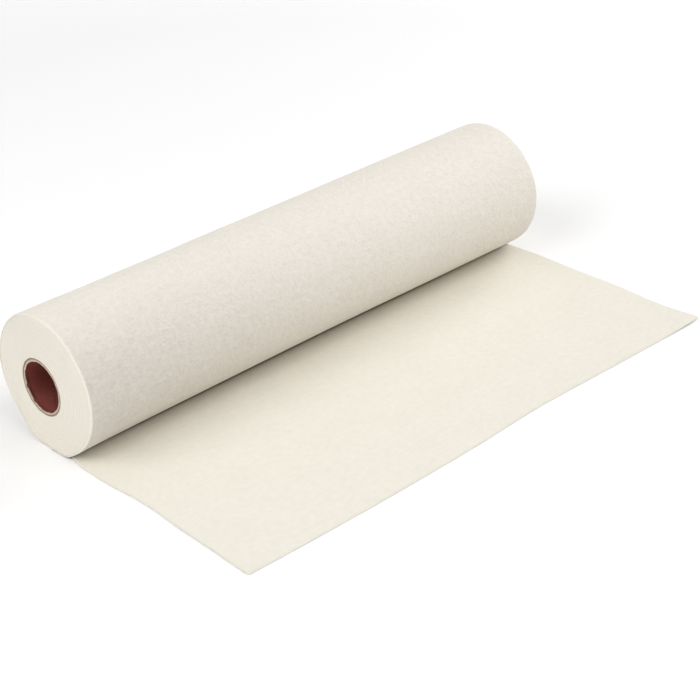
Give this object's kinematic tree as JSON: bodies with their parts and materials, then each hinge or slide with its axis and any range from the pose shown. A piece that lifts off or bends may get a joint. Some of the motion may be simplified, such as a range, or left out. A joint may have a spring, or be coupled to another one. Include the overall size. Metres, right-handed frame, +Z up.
{
  "type": "roll of felt",
  "caption": "Cream craft felt wound on a cardboard core tube, with its loose end drawn out flat from under the roll.",
  "frame": {"origin": "on the surface that the roll lies on, below the middle of the model's box", "axes": "+X along the roll's axis, from the end nearest the viewer to the far end; the loose end runs towards -Y; +Z up"},
  "size_m": [0.4582, 0.265, 0.1035],
  "materials": {
    "felt": "soft needled felt, cream, matt and slightly mottled",
    "core_tube": "spiral-wound cardboard, grey-beige cut edge, maroon liner"
  },
  "bodies": {
    "root": {"felt": "felt", "core_tube": "core_tube"}
  },
  "joints": []
}
